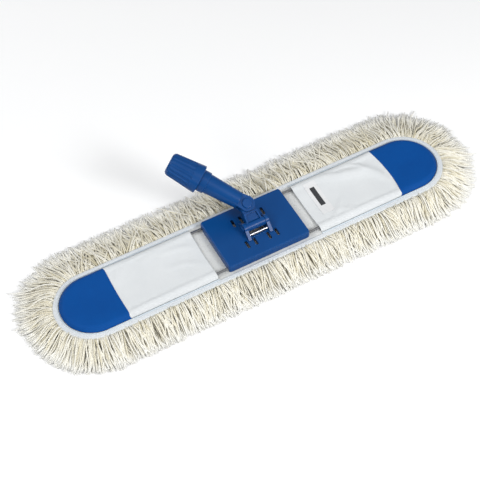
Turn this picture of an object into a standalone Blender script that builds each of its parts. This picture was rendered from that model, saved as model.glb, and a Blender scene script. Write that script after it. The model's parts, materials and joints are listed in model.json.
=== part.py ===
"""Flat pocket mop: cotton yarn head, folding wire frame, swivelling pole socket.

Units are metres and +Z is up. The mop lies along X, its sole rests on z = 0, and the
origin is on the sole under the middle of the centre plate. Each half of the wire frame
folds down about a cross rod held under the plate. The yoke tilts about a pin along X, and
the pole socket swings in the yoke about a pin square to it.
"""

import math

import bmesh
import bpy
from mathutils import Matrix, Vector

MM = 0.001

# Clearances
GAP = 0.3 * MM          # between pieces that lie against each other
RUN = 0.3 * MM          # between a pin or rod and the hole it turns in

# Cotton head
PILE_HEIGHT = 19.7 * MM
BACKING_THICK = 1.5 * MM
BACKING_MARGIN = 7.0 * MM       # backing that shows outside the pocket's foot
CENTRE_HALF = 55.0 * MM         # half of the middle stretch, which bends when the wings fold
BINDING_WIDTH = 2.6 * MM
BINDING_HEIGHT = 2.6 * MM
FRINGE_REACH = 50.0 * MM        # from the backing's edge to the yarn tips
FRINGE_HEIGHT = 23.5 * MM

# Wire frame
WIRE_DIA = 4.0 * MM
WIRE_HALF_WIDTH = 41.0 * MM     # centre line of the long rods
WIRE_HALF_LENGTH = 297.0 * MM   # centre line of the round outer end
WIRE_LIFT = 1.5 * MM            # above the backing
FOLD_X = 17.5 * MM              # cross rod that each wing folds about
WIRE_BEND = 6.0 * MM

# Pockets
POCKET_MOUTH_X = 84.0 * MM
POCKET_SEAM_INSET = 33.0 * MM   # from the middle of the round end in to the blue cloth's seam
POCKET_WALL = 1.4 * MM
POCKET_ROOM = 1.6 * MM          # beside the wire, at the pocket's roof
POCKET_SPREAD = 2.9 * MM        # how much further out the pocket's foot stands
POCKET_SHOULDER = 3.0 * MM

# Sewn label
LABEL_WIDTH = 20.0 * MM
LABEL_LENGTH = 62.0 * MM
LABEL_THICK = 0.5 * MM
LABEL_INSET = 17.0 * MM         # from the pocket's mouth
LABEL_Y = 7.0 * MM

# Centre plate
PLATE_LENGTH = 131.5 * MM
PLATE_HEIGHT = 12.2 * MM
PLATE_WALL = 3.0 * MM
PLATE_ROOM = 0.5 * MM           # between the rods and the skirt
PLATE_CORNER = 4.0 * MM
PLATE_EDGE = 0.8 * MM
SLOT_WIDTH = 4.4 * MM
SLOT_LENGTH = 14.5 * MM
SLOT_XS = (11.0 * MM, 24.0 * MM)
SLOT_YS = (-22.8 * MM, 21.0 * MM)
WINDOW_HALF = 13.0 * MM
WINDOW_FRONT = 11.0 * MM        # in front of the tilt axis
WINDOW_REAR = 5.0 * MM
HOOK_Y = 31.0 * MM
HOOK_WIDTH = 7.0 * MM
HOOK_WALL = 2.9 * MM
HOOK_THROAT = 3.4 * MM          # narrower than the wire, which snaps in

# Tilt joint
TILT_Y = -2.0 * MM
TILT_LIFT = 9.0 * MM            # axis above the plate's top
TILT_LEAN = math.radians(60.0)  # yoke, back from upright
BARREL_RADIUS = 6.5 * MM
BARREL_HALF = 14.7 * MM
CHEEK_THICK = 4.5 * MM
CHEEK_RADIUS = 7.5 * MM
CHEEK_FOOT = 18.0 * MM          # half of the foot along Y
TILT_PIN_RADIUS = 2.4 * MM
TILT_HEAD_RADIUS = 4.2 * MM
HEAD_THICK = 1.6 * MM
BAR_RADIUS = 2.0 * MM
BAR_FORWARD = 9.5 * MM          # in front of the tilt axis
BAR_LIFT = 2.6 * MM             # above the plate's top

# Yoke
PIVOT_REACH = 31.4 * MM         # from the tilt axis to the swing axis
SWING_TURN = math.radians(38.0)  # socket, from the yoke's centre line towards -X
TONGUE_HALF = 3.0 * MM
TONGUE_RADIUS = 10.5 * MM
WEB_HALF = 4.5 * MM             # half the thickness of the yoke's rim
WEB_PANEL_HALF = 1.6 * MM       # and of the panel inside the rim
WEB_FOOT = 12.6 * MM            # half the width at the barrel
WEB_RIM = 2.8 * MM

# Pole socket, along its own axis from the swing pin
EAR_THICK = 4.5 * MM
EAR_RADIUS = 11.5 * MM
SWING_PIN_RADIUS = 3.0 * MM
SWING_HEAD_RADIUS = 7.5 * MM
SWING_HEAD_THICK = 2.2 * MM
TUBE_LOW_WALL = 1.1 * MM         # walls here are measured from the pole's bore
TUBE_TOP_WALL = 3.5 * MM
TUBE_TOP = 63.5 * MM
COLLAR_WALL = 5.0 * MM
COLLAR_LENGTH = 10.6 * MM
SPIGOT_LENGTH = 24.0 * MM
SPIGOT_WALL = 2.9 * MM
THREAD_DEPTH = 0.7 * MM
THREAD_TURNS = 4
POLE_RADIUS = 11.3 * MM         # the bore that takes the pole
BORE_FLOOR = 40.0 * MM

# Lock nut and collet
NUT_LENGTH = 50.3 * MM
NUT_WIDE_WALL = 10.2 * MM        # from the pole's bore to the nut's outside
NUT_MOUTH_WALL = 5.7 * MM
NUT_BAND = 13.0 * MM            # plain band at the wide end
NUT_RIBS = 18
RIB_DEPTH = 1.0 * MM
NUT_NOSE = 4.5 * MM             # rounded end at the pole's mouth
COLLET_TRAVEL = 3.0 * MM
COLLET_LENGTH = 19.0 * MM
COLLET_ROOM = 0.5 * MM
COLLET_SLIT = math.radians(10.0)
COLLET_WALL = 0.9 * MM          # at its thin end

# Heights and places that follow
BACKING_Z = PILE_HEIGHT + GAP
BACKING_TOP = BACKING_Z + BACKING_THICK
WIRE_RADIUS = WIRE_DIA / 2
WIRE_Z = BACKING_TOP + WIRE_LIFT + WIRE_RADIUS
ARC_X = WIRE_HALF_LENGTH - WIRE_HALF_WIDTH      # centre of every round end
POCKET_SEAM_X = ARC_X - POCKET_SEAM_INSET        # where the white canvas meets the blue end
POCKET_FOOT_Z = BACKING_TOP + GAP
POCKET_ROOF_Z = WIRE_Z + WIRE_RADIUS + 0.4 * MM
POCKET_TOP = POCKET_ROOF_Z + POCKET_WALL
POCKET_ROOF_HALF = WIRE_HALF_WIDTH + WIRE_RADIUS + POCKET_ROOM
POCKET_FOOT_HALF = POCKET_ROOF_HALF + POCKET_SPREAD + POCKET_WALL
BACKING_HALF = POCKET_FOOT_HALF + BACKING_MARGIN
FRINGE_OUTER = BACKING_HALF + FRINGE_REACH
FRINGE_LEDGE = BINDING_WIDTH + 2 * GAP
PLATE_FOOT = BACKING_TOP + GAP
PLATE_TOP = PLATE_FOOT + PLATE_HEIGHT
PLATE_CEILING = PLATE_TOP - PLATE_WALL
PLATE_HALF_WIDTH = WIRE_HALF_WIDTH + WIRE_RADIUS + PLATE_ROOM + PLATE_WALL
TILT_Z = PLATE_TOP + TILT_LIFT
CHEEK_INNER = BARREL_HALF + RUN
CHEEK_OUTER = CHEEK_INNER + CHEEK_THICK
EAR_INNER = TONGUE_HALF + RUN
EAR_OUTER = EAR_INNER + EAR_THICK
WEB_TOP = PIVOT_REACH - EAR_RADIUS - 2 * RUN
TUBE_LOW = TONGUE_RADIUS + 2 * RUN
COLLAR_TOP = TUBE_TOP + COLLAR_LENGTH
SPIGOT_TOP = COLLAR_TOP + SPIGOT_LENGTH
NUT_FOOT = COLLAR_TOP + 2 * GAP
NUT_TOP = NUT_FOOT + NUT_LENGTH
TUBE_LOW_RADIUS = POLE_RADIUS + TUBE_LOW_WALL
TUBE_TOP_RADIUS = POLE_RADIUS + TUBE_TOP_WALL
COLLAR_RADIUS = POLE_RADIUS + COLLAR_WALL
SPIGOT_RADIUS = POLE_RADIUS + SPIGOT_WALL
THREAD_RADIUS = SPIGOT_RADIUS + THREAD_DEPTH
NUT_WIDE_RADIUS = POLE_RADIUS + NUT_WIDE_WALL
NUT_MOUTH_RADIUS = POLE_RADIUS + NUT_MOUTH_WALL
COLLET_FOOT = SPIGOT_TOP + COLLET_TRAVEL + GAP
COLLET_TOP = COLLET_FOOT + COLLET_LENGTH

# Colour, roughness and metallic value of each finish
FINISHES = {
    "blue_plastic": ((0.016, 0.070, 0.260), 0.38, 0.0),
    "chrome": ((0.80, 0.80, 0.82), 0.15, 1.0),
    "steel": ((0.62, 0.62, 0.64), 0.28, 1.0),
    "canvas": ((0.80, 0.82, 0.84), 0.90, 0.0),
    "blue_canvas": ((0.010, 0.085, 0.330), 0.85, 0.0),
    "binding_tape": ((0.70, 0.75, 0.82), 0.88, 0.0),
    "cotton_yarn": ((0.80, 0.77, 0.66), 0.95, 0.0),
    "label_cloth": ((0.85, 0.85, 0.85), 0.70, 0.0),
}

SMOOTH_ANGLE = math.radians(32.0)
ROUND_STEPS = 32
END_STEPS = 20


# ---------------------------------------------------------------- shapes

def arc(centre, radius, start, stop, steps):
    """Points of a circular arc in a plane, ends included."""
    turns = [start + (stop - start) * i / steps for i in range(steps + 1)]
    return [(centre[0] + radius * math.cos(t), centre[1] + radius * math.sin(t)) for t in turns]


def rounded_box(half_x, half_y, radius, steps=4):
    """Outline of a rectangle with round corners."""
    points = []
    for quarter, (sx, sy) in enumerate(((1, 1), (-1, 1), (-1, -1), (1, -1))):
        centre = (sx * (half_x - radius), sy * (half_y - radius))
        start = quarter * math.pi / 2
        points += arc(centre, radius, start, start + math.pi / 2, steps)
    return points


def round_ended(start_x, half_width, side):
    """Outline of a strip along X from start_x, with a round end about ARC_X, on one side."""
    outline = [(start_x, -half_width)]
    outline += arc((ARC_X, 0.0), half_width, -math.pi / 2, math.pi / 2, END_STEPS)
    outline += [(start_x, half_width)]
    return [(side * x, y) for x, y in outline]


def straight_sided(start_x, end_x, half_width, side):
    """Outline of a rectangle along X on one side."""
    corners = ((start_x, -half_width), (end_x, -half_width), (end_x, half_width), (start_x, half_width))
    return [(side * x, y) for x, y in corners]


def extruded(outline, low, high, matrix=None):
    """Solid over a flat outline, from low to high along Z, then moved by the matrix."""
    bm = bmesh.new()
    face = bm.faces.new([bm.verts.new((x, y, low)) for x, y in outline])
    grown = bmesh.ops.extrude_face_region(bm, geom=[face])["geom"]
    top = [item for item in grown if isinstance(item, bmesh.types.BMVert)]
    bmesh.ops.translate(bm, verts=top, vec=(0, 0, high - low))
    if matrix:
        bmesh.ops.transform(bm, matrix=matrix, verts=bm.verts)
    bmesh.ops.recalc_face_normals(bm, faces=bm.faces)
    return bm


def stacked(rings):
    """Solid through rings of points, closed by a face at each end."""
    bm = bmesh.new()
    loops = [[bm.verts.new(point) for point in ring] for ring in rings]
    count = len(loops[0])
    for low, high in zip(loops, loops[1:]):
        for i in range(count):
            j = (i + 1) % count
            bm.faces.new((low[i], low[j], high[j], high[i]))
    bm.faces.new(loops[0])
    bm.faces.new(loops[-1])
    bmesh.ops.recalc_face_normals(bm, faces=bm.faces)
    return bm


def turned(profile, steps=ROUND_STEPS, angle=2 * math.pi, matrix=None):
    """Solid of revolution about Z of a closed profile of (radius, z) points.

    A part turn is closed by the profile itself at both ends.
    """
    whole = angle > 2 * math.pi - 1e-6
    bm = bmesh.new()
    verts = [bm.verts.new((radius, 0, z)) for radius, z in profile]
    pairs = list(zip(verts, verts[1:] + verts[:1]))
    if whole:
        pairs = [(a, b) for a, b in pairs if a.co.x > 1e-9 or b.co.x > 1e-9]
    edges = [bm.edges.new(pair) for pair in pairs]
    spun = bmesh.ops.spin(
        bm, geom=verts + edges, axis=(0, 0, 1), cent=(0, 0, 0), angle=angle, steps=steps, use_merge=False)
    if not whole:
        bmesh.ops.contextual_create(bm, geom=edges)
        ends = [item for item in spun["geom_last"] if isinstance(item, bmesh.types.BMEdge)]
        bmesh.ops.contextual_create(bm, geom=ends)
    bmesh.ops.remove_doubles(bm, verts=bm.verts, dist=1e-6)
    if matrix:
        bmesh.ops.transform(bm, matrix=matrix, verts=bm.verts)
    bmesh.ops.recalc_face_normals(bm, faces=bm.faces)
    return bm


def cylinder(radius, low, high, matrix=None, steps=ROUND_STEPS):
    return turned([(0, low), (radius, low), (radius, high), (0, high)], steps, matrix=matrix)


def ring(inner, outer, low, high, matrix=None, steps=ROUND_STEPS):
    return turned([(inner, low), (outer, low), (outer, high), (inner, high)], steps, matrix=matrix)


def joined(*meshes):
    """One mesh that holds several solids which stay apart."""
    bm = bmesh.new()
    for source in meshes:
        piece = bpy.data.meshes.new("joining")
        source.to_mesh(piece)
        source.free()
        bm.from_mesh(piece)
        bpy.data.meshes.remove(piece)
    return bm


# ---------------------------------------------------------------- objects

def finish(name):
    """The material of that name, made once."""
    material = bpy.data.materials.get(name)
    if material:
        return material
    colour, roughness, metallic = FINISHES[name]
    material = bpy.data.materials.new(name)
    material.use_nodes = True
    shader = material.node_tree.nodes["Principled BSDF"]
    shader.inputs["Base Color"].default_value = (*colour, 1.0)
    shader.inputs["Roughness"].default_value = roughness
    shader.inputs["Metallic"].default_value = metallic
    material.diffuse_color = (*colour, 1.0)
    return material


def add_object(name, data, parent, keep_place):
    """Link data as an object under parent, its mesh in world space or in the parent's own."""
    obj = bpy.data.objects.new(name, data)
    bpy.context.scene.collection.objects.link(obj)
    if parent:
        obj.parent = parent
        if keep_place:
            obj.matrix_parent_inverse = parent.matrix_world.inverted()
    return obj


def add_piece(name, bm, finish_name, parent=None, keep_place=True):
    mesh = bpy.data.meshes.new(name)
    bm.to_mesh(mesh)
    bm.free()
    mesh.materials.append(finish(finish_name))
    mesh.shade_smooth()
    mesh.set_sharp_from_angle(angle=SMOOTH_ANGLE)
    return add_object(name, mesh, parent, keep_place)


def change_with(obj, bm, operation, parent=None, keep_place=True):
    """Cut a shape from an object, or join it on, with a Boolean modifier."""
    count = len(obj.modifiers) + 1
    mesh = bpy.data.meshes.new(f"{obj.name}_shape_{count}")
    bm.to_mesh(mesh)
    bm.free()
    guide = add_object(mesh.name, mesh, parent, keep_place)
    guide.hide_render = True
    guide.display_type = "WIRE"
    modifier = obj.modifiers.new(f"{operation.lower()}_{count}", "BOOLEAN")
    modifier.operation = operation
    modifier.solver = "EXACT"
    modifier.object = guide


def add_axis(name, matrix, parent=None):
    """An empty on a joint's axis, which carries the pieces that move about it."""
    empty = bpy.data.objects.new(name, None)
    bpy.context.scene.collection.objects.link(empty)
    empty.empty_display_size = 10 * MM
    if parent:
        empty.parent = parent
    empty.matrix_local = matrix
    bpy.context.view_layer.update()
    return empty


# ---------------------------------------------------------------- cotton head

def fringe_profile():
    """Section of the yarn fringe: (distance from the middle line or arc centre, height)."""
    ledge_z = BACKING_Z - 2 * GAP
    ledge = BACKING_HALF + FRINGE_LEDGE
    return [
        (BACKING_HALF, 0.0),
        (FRINGE_OUTER - 1.5 * MM, 0.0),
        (FRINGE_OUTER, 0.22 * FRINGE_HEIGHT),
        (BACKING_HALF + 0.80 * FRINGE_REACH, 0.70 * FRINGE_HEIGHT),
        (BACKING_HALF + 0.40 * FRINGE_REACH, FRINGE_HEIGHT),
        (ledge, 0.97 * FRINGE_HEIGHT),
        (ledge, ledge_z),
        (BACKING_HALF, ledge_z),
    ]


def binding_profile():
    inner = BACKING_HALF + GAP
    low = BACKING_Z - GAP
    return [
        (inner, low),
        (inner + BINDING_WIDTH, low),
        (inner + BINDING_WIDTH, low + BINDING_HEIGHT),
        (inner, low + BINDING_HEIGHT),
    ]


def along_x(profile, start_x, end_x, y_side):
    """A section (y, z) carried along X on the front (-1) or rear (+1) edge."""
    return stacked([[(x, y_side * y, z) for y, z in profile] for x in (start_x, end_x)])


def round_the_end(profile, side, start_x=None):
    """A section carried round an outer end, with a straight run back to start_x if given."""
    turns = [-math.pi / 2 + math.pi * i / END_STEPS for i in range(END_STEPS + 1)]
    arc_x = ARC_X if start_x is not None else ARC_X + GAP
    rings = []
    for turn in turns:
        place = Vector((math.cos(turn), math.sin(turn), 0))
        rings.append([Vector((side * (arc_x + place.x * r), place.y * r, z)) for r, z in profile])
    if start_x is not None:
        front = [Vector((side * start_x, -r, z)) for r, z in profile]
        rear = [Vector((side * start_x, r, z)) for r, z in profile]
        rings = [front] + rings + [rear]
    return stacked(rings)


def centre_cloth():
    """The middle of the head, which bends where the wings fold."""
    half = CENTRE_HALF
    outline = rounded_box(half, BACKING_HALF, 1.0 * MM, 1)
    pile_outline = rounded_box(half, BACKING_HALF - 0.5 * MM, 1.0 * MM, 1)
    add_piece("pile_centre", extruded(pile_outline, 0.0, PILE_HEIGHT), "cotton_yarn")
    add_piece("backing_centre", extruded(outline, BACKING_Z, BACKING_TOP), "canvas")
    for name, y_side in (("front", -1), ("rear", 1)):
        add_piece(f"fringe_{name}_centre", along_x(fringe_profile(), -half, half, y_side), "cotton_yarn")
        add_piece(f"binding_{name}_centre", along_x(binding_profile(), -half, half, y_side), "binding_tape")


def wing_cloth(prefix, side, axis):
    """Backing, yarn, binding and pocket of one wing."""
    start = CENTRE_HALF + GAP
    pile = extruded(round_ended(start, BACKING_HALF - 0.5 * MM, side), 0.0, PILE_HEIGHT)
    add_piece(f"{prefix}_pile", pile, "cotton_yarn", axis)
    backing = extruded(round_ended(start, BACKING_HALF, side), BACKING_Z, BACKING_TOP)
    add_piece(f"{prefix}_backing", backing, "canvas", axis)
    add_piece(f"{prefix}_binding", round_the_end(binding_profile(), side, start), "binding_tape", axis)
    for name, y_side in (("front", -1), ("rear", 1)):
        band = along_x(fringe_profile(), side * start, side * (ARC_X - GAP), y_side)
        add_piece(f"{prefix}_fringe_{name}", band, "cotton_yarn", axis)
    add_piece(f"{prefix}_fringe_end", round_the_end(fringe_profile(), side), "cotton_yarn", axis)


def pocket_shell(outline_of):
    """Outer solid and inner cutter of a pocket, from a function that gives its outline by width."""
    shoulder_z = POCKET_TOP - 0.7 * MM
    foot = POCKET_FOOT_HALF
    shoulder = POCKET_ROOF_HALF + POCKET_WALL
    outer = [
        [(x, y, POCKET_FOOT_Z) for x, y in outline_of(foot, 0.0)],
        [(x, y, shoulder_z) for x, y in outline_of(shoulder, 0.0)],
        [(x, y, POCKET_TOP) for x, y in outline_of(shoulder - POCKET_SHOULDER, 0.0)],
    ]
    overrun = 5.0 * MM
    inner = [
        [(x, y, POCKET_FOOT_Z - overrun) for x, y in outline_of(foot - POCKET_WALL, overrun)],
        [(x, y, POCKET_FOOT_Z) for x, y in outline_of(foot - POCKET_WALL, overrun)],
        [(x, y, POCKET_ROOF_Z) for x, y in outline_of(POCKET_ROOF_HALF, overrun)],
    ]
    return stacked(outer), stacked(inner)


def wing_pocket(prefix, side, axis):
    """White canvas pocket and its blue round end, over the wire."""
    mouth, seam = POCKET_MOUTH_X, POCKET_SEAM_X

    def canvas_outline(half, overrun):
        return straight_sided(mouth - overrun, seam - GAP + overrun, half, side)

    def end_outline(half, overrun):
        return round_ended(seam - overrun, half, side)

    outer, inner = pocket_shell(canvas_outline)
    pocket = add_piece(f"{prefix}_pocket", outer, "canvas", axis)
    change_with(pocket, inner, "DIFFERENCE", axis)
    outer, inner = pocket_shell(end_outline)
    end = add_piece(f"{prefix}_pocket_end", outer, "blue_canvas", axis)
    change_with(end, inner, "DIFFERENCE", axis)


def sewn_label(axis):
    low_x = POCKET_MOUTH_X + LABEL_INSET
    outline = [
        (low_x, LABEL_Y - LABEL_LENGTH / 2),
        (low_x + LABEL_WIDTH, LABEL_Y - LABEL_LENGTH / 2),
        (low_x + LABEL_WIDTH, LABEL_Y + LABEL_LENGTH / 2),
        (low_x, LABEL_Y + LABEL_LENGTH / 2),
    ]
    low = POCKET_TOP + GAP
    add_piece("right_label", extruded(outline, low, low + LABEL_THICK), "label_cloth", axis)


# ---------------------------------------------------------------- wire frame

def wire_loop(prefix, side, axis):
    """Closed wire: cross rod under the plate, two long rods and a round outer end."""
    half, bend = WIRE_HALF_WIDTH, WIRE_BEND
    route = arc((FOLD_X + bend, half - bend), bend, math.pi / 2, math.pi, 5)
    route += arc((FOLD_X + bend, bend - half), bend, math.pi, 1.5 * math.pi, 5)
    route += arc((ARC_X, 0.0), half, -math.pi / 2, math.pi / 2, 24)
    curve = bpy.data.curves.new(f"{prefix}_wire_loop", "CURVE")
    curve.dimensions = "3D"
    curve.bevel_depth = WIRE_RADIUS
    curve.bevel_resolution = 3
    curve.use_fill_caps = True
    spline = curve.splines.new("POLY")
    spline.points.add(len(route) - 1)
    for point, (x, y) in zip(spline.points, route):
        point.co = (side * x, y, WIRE_Z, 1.0)
    spline.use_cyclic_u = True
    curve.materials.append(finish("chrome"))
    add_object(f"{prefix}_wire_loop", curve, axis, True)


# ---------------------------------------------------------------- centre plate

def keyhole(centre, radius, throat, floor):
    """Round hole with a throat down to the floor, as an outline in a vertical plane."""
    half = throat / 2
    start = -math.acos(max(-1.0, min(1.0, half / radius)))
    points = arc(centre, radius, start, math.pi - start, 14)
    return [(centre[0] + half, floor)] + points + [(centre[0] - half, floor)]


def cheek_outline():
    """Side view (y, z) of a cheek that carries the tilt pin."""
    foot_z = PLATE_TOP - PLATE_WALL / 2
    top = arc((TILT_Y, TILT_Z), CHEEK_RADIUS, math.radians(20), math.radians(160), 10)
    heel = 1.5 * MM
    return (
        [(TILT_Y - CHEEK_FOOT, foot_z), (TILT_Y + CHEEK_FOOT, foot_z), (TILT_Y + CHEEK_FOOT, PLATE_TOP + heel)]
        + top
        + [(TILT_Y - CHEEK_FOOT, PLATE_TOP + heel)]
    )


def standing_along_x():
    """Matrix that stands an outline up: its X and Y become Y and Z, its Z becomes X."""
    return Matrix(((0, 0, 1, 0), (1, 0, 0, 0), (0, 1, 0, 0), (0, 0, 0, 1)))


def standing_along_y():
    """Matrix that stands an outline up: its X and Y become X and Z, its Z becomes Y."""
    return Matrix(((1, 0, 0, 0), (0, 0, 1, 0), (0, 1, 0, 0), (0, 0, 0, 1)))


def centre_plate():
    half_length = PLATE_LENGTH / 2
    outline = rounded_box(half_length, PLATE_HALF_WIDTH, PLATE_CORNER)
    body = extruded(outline, PLATE_FOOT, PLATE_TOP)
    top_edges = [e for e in body.edges if all(v.co.z > PLATE_TOP - GAP for v in e.verts)]
    bmesh.ops.bevel(body, geom=top_edges, offset=PLATE_EDGE, segments=2, profile=0.5, affect="EDGES")
    plate = add_piece("centre_plate", body, "blue_plastic")

    inner = rounded_box(half_length - PLATE_WALL, PLATE_HALF_WIDTH - PLATE_WALL, PLATE_CORNER - PLATE_WALL / 2)
    change_with(plate, extruded(inner, PLATE_FOOT - PLATE_WALL, PLATE_CEILING), "DIFFERENCE")

    stand = standing_along_x()
    for side in (-1, 1):
        low, high = sorted((side * CHEEK_INNER, side * CHEEK_OUTER))
        change_with(plate, extruded(cheek_outline(), low, high, stand), "UNION")
        for y in (-HOOK_Y, HOOK_Y):
            reach = WIRE_RADIUS + RUN + HOOK_WALL
            hook = rounded_box(reach, HOOK_WIDTH / 2, 0.8 * MM, 2)
            lift = Matrix.Translation((side * FOLD_X, y, 0))
            change_with(plate, extruded(hook, PLATE_FOOT, PLATE_CEILING + PLATE_WALL / 2, lift), "UNION")

    # holes: rod notches, hook throats, slots, window, pin and bar bores
    below = PLATE_FOOT - PLATE_WALL
    cuts = []
    for side in (-1, 1):
        for y in (-WIRE_HALF_WIDTH, WIRE_HALF_WIDTH):
            notch = keyhole((y, WIRE_Z), WIRE_RADIUS + 2 * RUN, 2 * (WIRE_RADIUS + 2 * RUN), below)
            low, high = sorted((side * (half_length - 2 * PLATE_WALL), side * (half_length + PLATE_WALL)))
            cuts.append(extruded(notch, low, high, stand))
        throat = keyhole((side * FOLD_X, WIRE_Z), WIRE_RADIUS + RUN, HOOK_THROAT, below)
        for y in (-HOOK_Y, HOOK_Y):
            low, high = y - HOOK_WIDTH, y + HOOK_WIDTH
            cuts.append(extruded(throat, low, high, standing_along_y()))
    for x in SLOT_XS:
        for sx in (-1, 1):
            for y in SLOT_YS:
                slot = rounded_box(SLOT_WIDTH / 2, SLOT_LENGTH / 2, 0.45 * SLOT_WIDTH, 3)
                place = Matrix.Translation((sx * x, y, 0))
                cuts.append(extruded(slot, PLATE_CEILING - PLATE_WALL, PLATE_TOP + PLATE_WALL, place))
    window = rounded_box(WINDOW_HALF, (WINDOW_FRONT + WINDOW_REAR) / 2, 2.5 * MM)
    place = Matrix.Translation((0, TILT_Y + (WINDOW_REAR - WINDOW_FRONT) / 2, 0))
    cuts.append(extruded(window, PLATE_CEILING - PLATE_WALL, PLATE_TOP + PLATE_WALL, place))
    change_with(plate, joined(*cuts), "DIFFERENCE")

    bores = []
    for y, z, radius in (
        (TILT_Y, TILT_Z, TILT_PIN_RADIUS + RUN),
        (TILT_Y - BAR_FORWARD, PLATE_TOP + BAR_LIFT, BAR_RADIUS + GAP),
    ):
        turn = Matrix.Translation((0, y, z)) @ Matrix.Rotation(math.pi / 2, 4, "Y")
        bores.append(cylinder(radius, -2 * CHEEK_OUTER, 2 * CHEEK_OUTER, turn, 20))
    change_with(plate, joined(*bores), "DIFFERENCE")


def tilt_hardware():
    """Pin, its push-on cap and the steel cross bar."""
    turn = Matrix.Translation((0, TILT_Y, TILT_Z)) @ Matrix.Rotation(math.pi / 2, 4, "Y")
    seat = CHEEK_OUTER + GAP
    radius, head = TILT_PIN_RADIUS, TILT_HEAD_RADIUS
    profile = [
        (0, -seat - HEAD_THICK),
        (head - 0.8 * MM, -seat - HEAD_THICK),
        (head, -seat - 0.4 * HEAD_THICK),
        (head, -seat),
        (radius, -seat),
        (radius, seat + HEAD_THICK + GAP),
        (radius - 0.5 * MM, seat + HEAD_THICK + 2 * GAP),
        (0, seat + HEAD_THICK + 2 * GAP),
    ]
    add_piece("tilt_pin", turned(profile, 24, matrix=turn), "blue_plastic")
    cap = ring(radius + RUN, head, seat, seat + HEAD_THICK, turn, 24)
    add_piece("tilt_pin_cap", cap, "blue_plastic")
    lie = Matrix.Translation((0, TILT_Y - BAR_FORWARD, PLATE_TOP + BAR_LIFT)) @ Matrix.Rotation(math.pi / 2, 4, "Y")
    add_piece("cross_bar", cylinder(BAR_RADIUS, -CHEEK_OUTER, CHEEK_OUTER, lie, 20), "steel")


# ---------------------------------------------------------------- yoke

def yoke(axis):
    """Barrel, ribbed web and tongue, in the tilt axis's own frame with Z up the yoke."""
    stand = standing_along_y()
    top_half = WEB_FOOT * 0.86
    rim = [(-WEB_FOOT, 0), (WEB_FOOT, 0), (top_half, WEB_TOP), (-top_half, WEB_TOP)]
    web = extruded(rim, -WEB_HALF, WEB_HALF, stand)
    piece = add_piece("yoke", web, "blue_plastic", axis, False)

    tongue = [(-top_half + 0.5 * MM, WEB_TOP / 2), (top_half - 0.5 * MM, WEB_TOP / 2)]
    tongue += arc((0, PIVOT_REACH), TONGUE_RADIUS, 0, math.pi, 16)
    change_with(piece, extruded(tongue, -TONGUE_HALF, TONGUE_HALF, stand), "UNION", axis, False)

    low = BARREL_RADIUS - 2.0 * MM
    high = WEB_TOP - 0.9 * WEB_RIM
    wide_low = WEB_FOOT - WEB_RIM - 0.2 * MM
    wide_high = top_half - WEB_RIM
    recess = [(-wide_low, low), (wide_low, low), (wide_high, high), (-wide_high, high)]
    front = extruded(recess, -2 * WEB_HALF, -WEB_PANEL_HALF, stand)
    rear = extruded(recess, WEB_PANEL_HALF, 2 * WEB_HALF, stand)
    change_with(piece, joined(front, rear), "DIFFERENCE", axis, False)
    lie = Matrix.Rotation(math.pi / 2, 4, "Y")
    change_with(piece, cylinder(BARREL_RADIUS, -BARREL_HALF, BARREL_HALF, lie), "UNION", axis, False)

    bore = cylinder(TILT_PIN_RADIUS + RUN, -2 * BARREL_HALF, 2 * BARREL_HALF, lie, 20)
    turn = Matrix.Translation((0, 0, PIVOT_REACH)) @ Matrix.Rotation(math.pi / 2, 4, "X")
    pivot = cylinder(SWING_PIN_RADIUS + RUN, -2 * WEB_HALF, 2 * WEB_HALF, turn, 20)
    change_with(piece, joined(bore, pivot), "DIFFERENCE", axis, False)


# ---------------------------------------------------------------- pole socket

def socket_profile():
    """Tube, stepped collar, threaded spigot and blind pole bore, as (radius, distance)."""
    pitch = (SPIGOT_LENGTH - 6 * MM) / THREAD_TURNS
    points = [
        (0, TUBE_LOW),
        (TUBE_LOW_RADIUS - 1.0 * MM, TUBE_LOW),
        (TUBE_LOW_RADIUS, TUBE_LOW + 1.5 * MM),
        (TUBE_TOP_RADIUS, TUBE_TOP),
        (COLLAR_RADIUS - 0.5 * MM, TUBE_TOP + 0.3 * MM),
        (COLLAR_RADIUS, TUBE_TOP + 1.0 * MM),
        (COLLAR_RADIUS, COLLAR_TOP),
        (SPIGOT_RADIUS, COLLAR_TOP),
    ]
    for turn in range(THREAD_TURNS):
        low = COLLAR_TOP + 3 * MM + turn * pitch
        points += [(SPIGOT_RADIUS, low), (THREAD_RADIUS, low + 0.35 * pitch), (SPIGOT_RADIUS, low + 0.7 * pitch)]
    points += [
        (SPIGOT_RADIUS, SPIGOT_TOP),
        (POLE_RADIUS, SPIGOT_TOP),
        (POLE_RADIUS, BORE_FLOOR),
        (0, BORE_FLOOR),
    ]
    return points


def handle_socket(axis):
    """Tube with two ears that straddle the yoke's tongue, Z along the pole."""
    body = turned(socket_profile())
    piece = add_piece("handle_socket", body, "blue_plastic", axis, False)
    stand = standing_along_y()
    root = TUBE_LOW + 6 * MM
    root_half = math.sqrt(TUBE_LOW_RADIUS ** 2 - EAR_OUTER ** 2) - 0.2 * MM
    ear = [(root_half, root)]
    ear += [(-x, y) for x, y in arc((0, 0), EAR_RADIUS, math.radians(165), math.radians(375), 24)]
    ear += [(-root_half, root)]
    for low, high in ((-EAR_OUTER, -EAR_INNER), (EAR_INNER, EAR_OUTER)):
        change_with(piece, extruded(ear, low, high, stand), "UNION", axis, False)
    turn = Matrix.Rotation(math.pi / 2, 4, "X")
    bore = cylinder(SWING_PIN_RADIUS + RUN, -2 * EAR_OUTER, 2 * EAR_OUTER, turn, 20)
    change_with(piece, bore, "DIFFERENCE", axis, False)


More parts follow.
